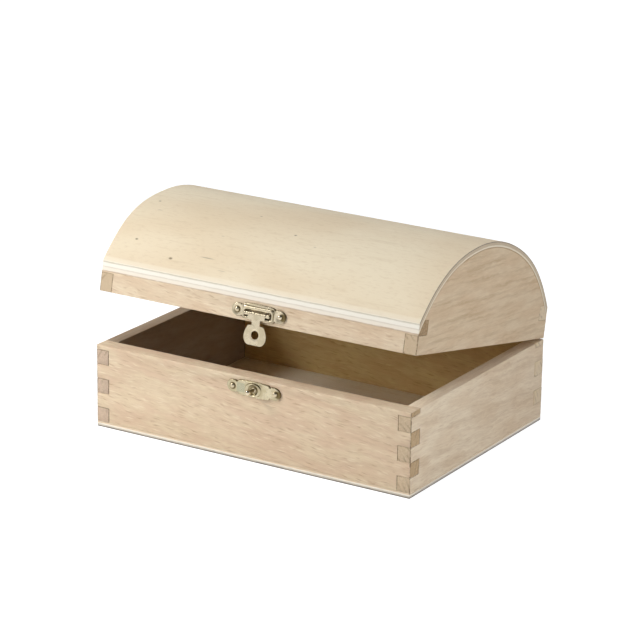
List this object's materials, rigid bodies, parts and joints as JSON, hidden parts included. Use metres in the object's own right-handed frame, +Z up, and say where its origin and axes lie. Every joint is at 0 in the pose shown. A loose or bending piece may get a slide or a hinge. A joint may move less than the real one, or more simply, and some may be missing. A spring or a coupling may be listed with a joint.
{
  "type": "domed wooden box",
  "caption": "Small unfinished beech box with finger-jointed corners, a domed lid of bent plywood hinged at the back, and a pressed-metal swing hasp that drops over a stud on the front.",
  "frame": {"origin": "middle of the base's underside; the open lid and the hinges reach past it at the back", "axes": "+Z up, -Y out of the front with the hasp, +X to the right as seen from the front, along the box's longest side"},
  "size_m": [0.18, 0.1424, 0.1087],
  "materials": {
    "front_beech": "unfinished beech, planed, grain along the board",
    "side_beech": "unfinished beech, planed, grain along the board",
    "plywood": "unfinished pale plywood, sanded, with its plies showing at the edges",
    "panel": "unfinished thin plywood",
    "pale_brass": "thin pale brass plating on pressed steel, satin"
  },
  "bodies": {
    "base": {"base_bottom_panel": "panel", "base_front_board": "front_beech", "base_back_board": "front_beech", "base_left_board": "side_beech", "base_right_board": "side_beech", "catch_plate": "pale_brass", "catch_stud": "pale_brass", "catch_nail_left": "pale_brass", "catch_nail_right": "pale_brass", "left_hinge_base_leaf": "pale_brass", "left_hinge_pin": "pale_brass", "left_hinge_base_nail_left": "pale_brass", "left_hinge_base_nail_right": "pale_brass", "right_hinge_base_leaf": "pale_brass", "right_hinge_pin": "pale_brass", "right_hinge_base_nail_left": "pale_brass", "right_hinge_base_nail_right": "pale_brass"},
    "lid": {"lid_plywood_cover": "plywood", "lid_front_rail": "front_beech", "lid_back_rail": "front_beech", "lid_left_end": "side_beech", "lid_right_end": "side_beech", "hasp_plate": "pale_brass", "hasp_pin": "pale_brass", "hasp_nail_left": "pale_brass", "hasp_nail_right": "pale_brass", "left_hinge_lid_leaf": "pale_brass", "left_hinge_lid_nail_left": "pale_brass", "left_hinge_lid_nail_right": "pale_brass", "right_hinge_lid_leaf": "pale_brass", "right_hinge_lid_nail_left": "pale_brass", "right_hinge_lid_nail_right": "pale_brass"},
    "tongue": {"hasp_tongue": "pale_brass"}
  },
  "joints": [
    {"name": "lid_hinge", "type": "hinge", "parent": "base", "child": "lid", "pos_m": [0, 0.0677, 0.0429], "axis": [-1, 0, 0], "range_deg": [-11.7, 156]},
    {"name": "hasp_swing", "type": "hinge", "parent": "lid", "child": "tongue", "pos_m": [0.003, -0.06344, 0.0744], "axis": [-1, 0, 0], "range_deg": [0, 115]}
  ]
}
